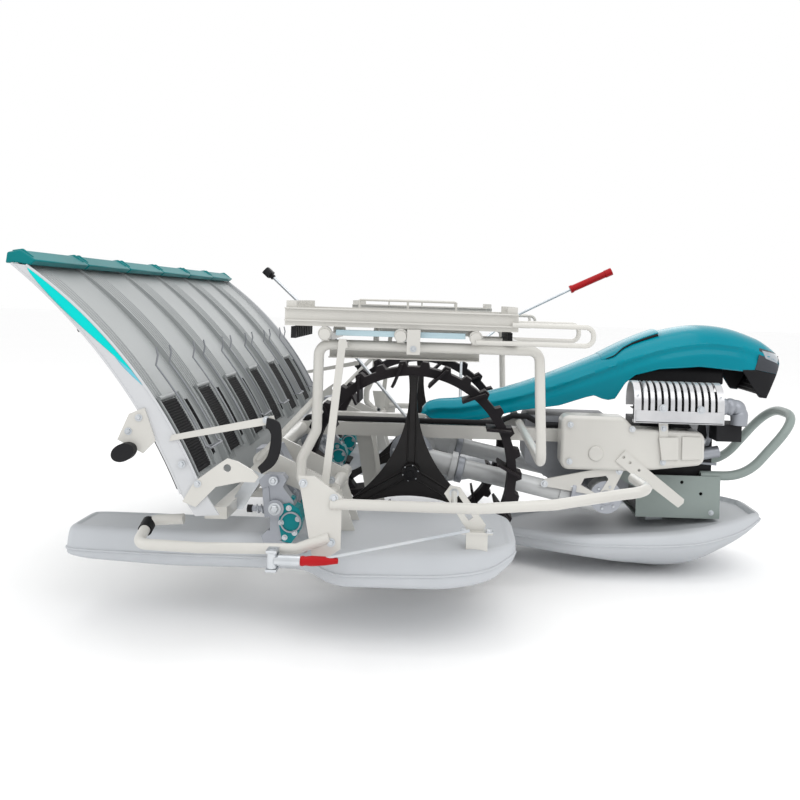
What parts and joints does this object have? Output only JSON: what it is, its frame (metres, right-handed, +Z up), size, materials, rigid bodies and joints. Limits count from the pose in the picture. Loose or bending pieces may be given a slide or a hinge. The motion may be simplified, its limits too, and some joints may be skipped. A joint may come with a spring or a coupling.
{
  "type": "walk-behind rice transplanter",
  "caption": "Walk-behind rice transplanter: hooded engine, lugged drive wheels on swing arms, hull floats, spare-seedling racks and a sideways-sliding seedling platform.",
  "frame": {"origin": "on the ground below the middle of the machine's box", "axes": "+X forward, +Y to the machine's left, +Z up"},
  "size_m": [2.274, 1.94, 0.9816],
  "materials": {
    "black_paint": "black paint on pressed steel",
    "black_plastic": "matt black",
    "black_rubber": "black rubber",
    "bright_steel": "bright pressed steel",
    "casting": "grey sand casting",
    "cream_paint": "cream gloss paint",
    "dark_steel": "heat-dulled steel",
    "engine_iron": "rough grey casting",
    "float_plastic": "pale grey blow-moulded plastic",
    "grey_green_paint": "grey-green paint",
    "panel_plastic": "pale blue-grey moulded plastic",
    "red_plastic": "red vinyl sleeve",
    "teal_plastic": "gloss teal",
    "wheel_rubber": "moulded black rubber",
    "zinc_steel": "bright zinc plate"
  },
  "bodies": {
    "root": {"arm_covers": "teal_plastic", "belt_cover": "cream_paint", "centre_float": "float_plastic", "chassis_beams": "cream_paint", "control_cable": "black_rubber", "control_levers": "zinc_steel", "cover_arms": "cream_paint", "engine_block": "engine_iron", "engine_fittings": "casting", "engine_tray": "grey_green_paint", "float_front_link": "zinc_steel", "float_links": "cream_paint", "float_struts": "cream_paint", "front_bumper": "grey_green_paint", "gear_case": "casting", "guard_rail_left": "cream_paint", "guard_rail_right": "cream_paint", "handle_grips": "black_rubber", "handlebar": "cream_paint", "hood_hinge": "zinc_steel", "lever_grip": "red_plastic", "lever_knob": "black_plastic", "marker_hinge_left": "zinc_steel", "marker_hinge_right": "zinc_steel", "planting_arms": "casting", "planting_cases": "casting", "platform_support": "cream_paint", "rack_loops": "cream_paint", "rear_beam": "cream_paint", "seedling_rack_left": "cream_paint", "seedling_rack_right": "cream_paint", "side_float_left": "float_plastic", "side_float_right": "float_plastic", "side_frame_left": "cream_paint", "side_frame_right": "cream_paint", "silencer": "dark_steel", "silencer_guard": "bright_steel", "slide_rail": "zinc_steel", "slide_rail_brackets": "zinc_steel", "swing_arm_left": "cream_paint", "swing_arm_right": "cream_paint"},
    "wheel_right": {"wheel_rim_right": "wheel_rubber", "wheel_spider_right": "black_paint"},
    "wheel_left": {"wheel_rim_left": "wheel_rubber", "wheel_spider_left": "black_paint"},
    "hood": {"hood_shell": "teal_plastic", "hood_grille": "black_plastic"},
    "platform": {"platform_panel": "panel_plastic", "platform_side_plates": "panel_plastic", "platform_caps": "teal_plastic", "feed_belts": "black_rubber", "platform_brackets": "cream_paint", "platform_knobs": "black_plastic", "mat_holders": "zinc_steel", "press_straps": "black_rubber"},
    "marker_right": {"marker_arm_right": "zinc_steel", "marker_grip_right": "red_plastic"},
    "marker_left": {"marker_arm_left": "zinc_steel", "marker_grip_left": "red_plastic"}
  },
  "joints": [
    {"name": "wheel_right_spin", "type": "hinge", "parent": "root", "child": "wheel_right", "pos_m": [-0.107, -0.3, 0.32913], "axis": [0, 1, 0], "continuous": true},
    {"name": "wheel_left_spin", "type": "hinge", "parent": "root", "child": "wheel_left", "pos_m": [-0.107, 0.3, 0.32913], "axis": [0, 1, 0], "continuous": true},
    {"name": "hood_lift", "type": "hinge", "parent": "root", "child": "hood", "pos_m": [-0.062, 0, 0.468], "axis": [0, -1, 0], "range_deg": [0, 40]},
    {"name": "platform_traverse", "type": "slide", "parent": "root", "child": "platform", "axis": [0, 1, 0], "range_m": [-0.14, 0.14]},
    {"name": "marker_right_swing", "type": "hinge", "parent": "root", "child": "marker_right", "pos_m": [-0.385, -0.958, 0.25], "axis": [0, 0, -1], "range_deg": [0, 90]},
    {"name": "marker_left_swing", "type": "hinge", "parent": "root", "child": "marker_left", "pos_m": [-0.385, 0.958, 0.25], "axis": [0, 0, 1], "range_deg": [0, 90]}
  ]
}
